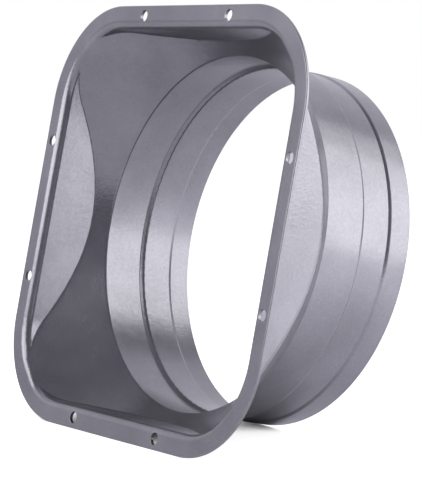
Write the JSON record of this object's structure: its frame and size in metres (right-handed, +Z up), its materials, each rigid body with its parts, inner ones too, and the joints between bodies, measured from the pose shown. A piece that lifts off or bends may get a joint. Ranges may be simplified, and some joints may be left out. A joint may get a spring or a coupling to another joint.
{
  "type": "duct flange",
  "caption": "Square sheet-metal flange with round corners and screw holes, pressed through straight walls and a shallow cone into a round duct collar with a recessed band.",
  "frame": {"origin": "centre of the flange's flat face, which lies in the plane Y = 0", "axes": "+Y along the duct, from the flat face towards the collar's open end; +X and +Z along the flange's sides, +Z up"},
  "size_m": [0.1788, 0.0745, 0.1788],
  "materials": {
    "grey_paint": "satin paint with a fine hammered grain on steel sheet"
  },
  "bodies": {
    "root": {"duct_flange": "grey_paint"}
  },
  "joints": []
}
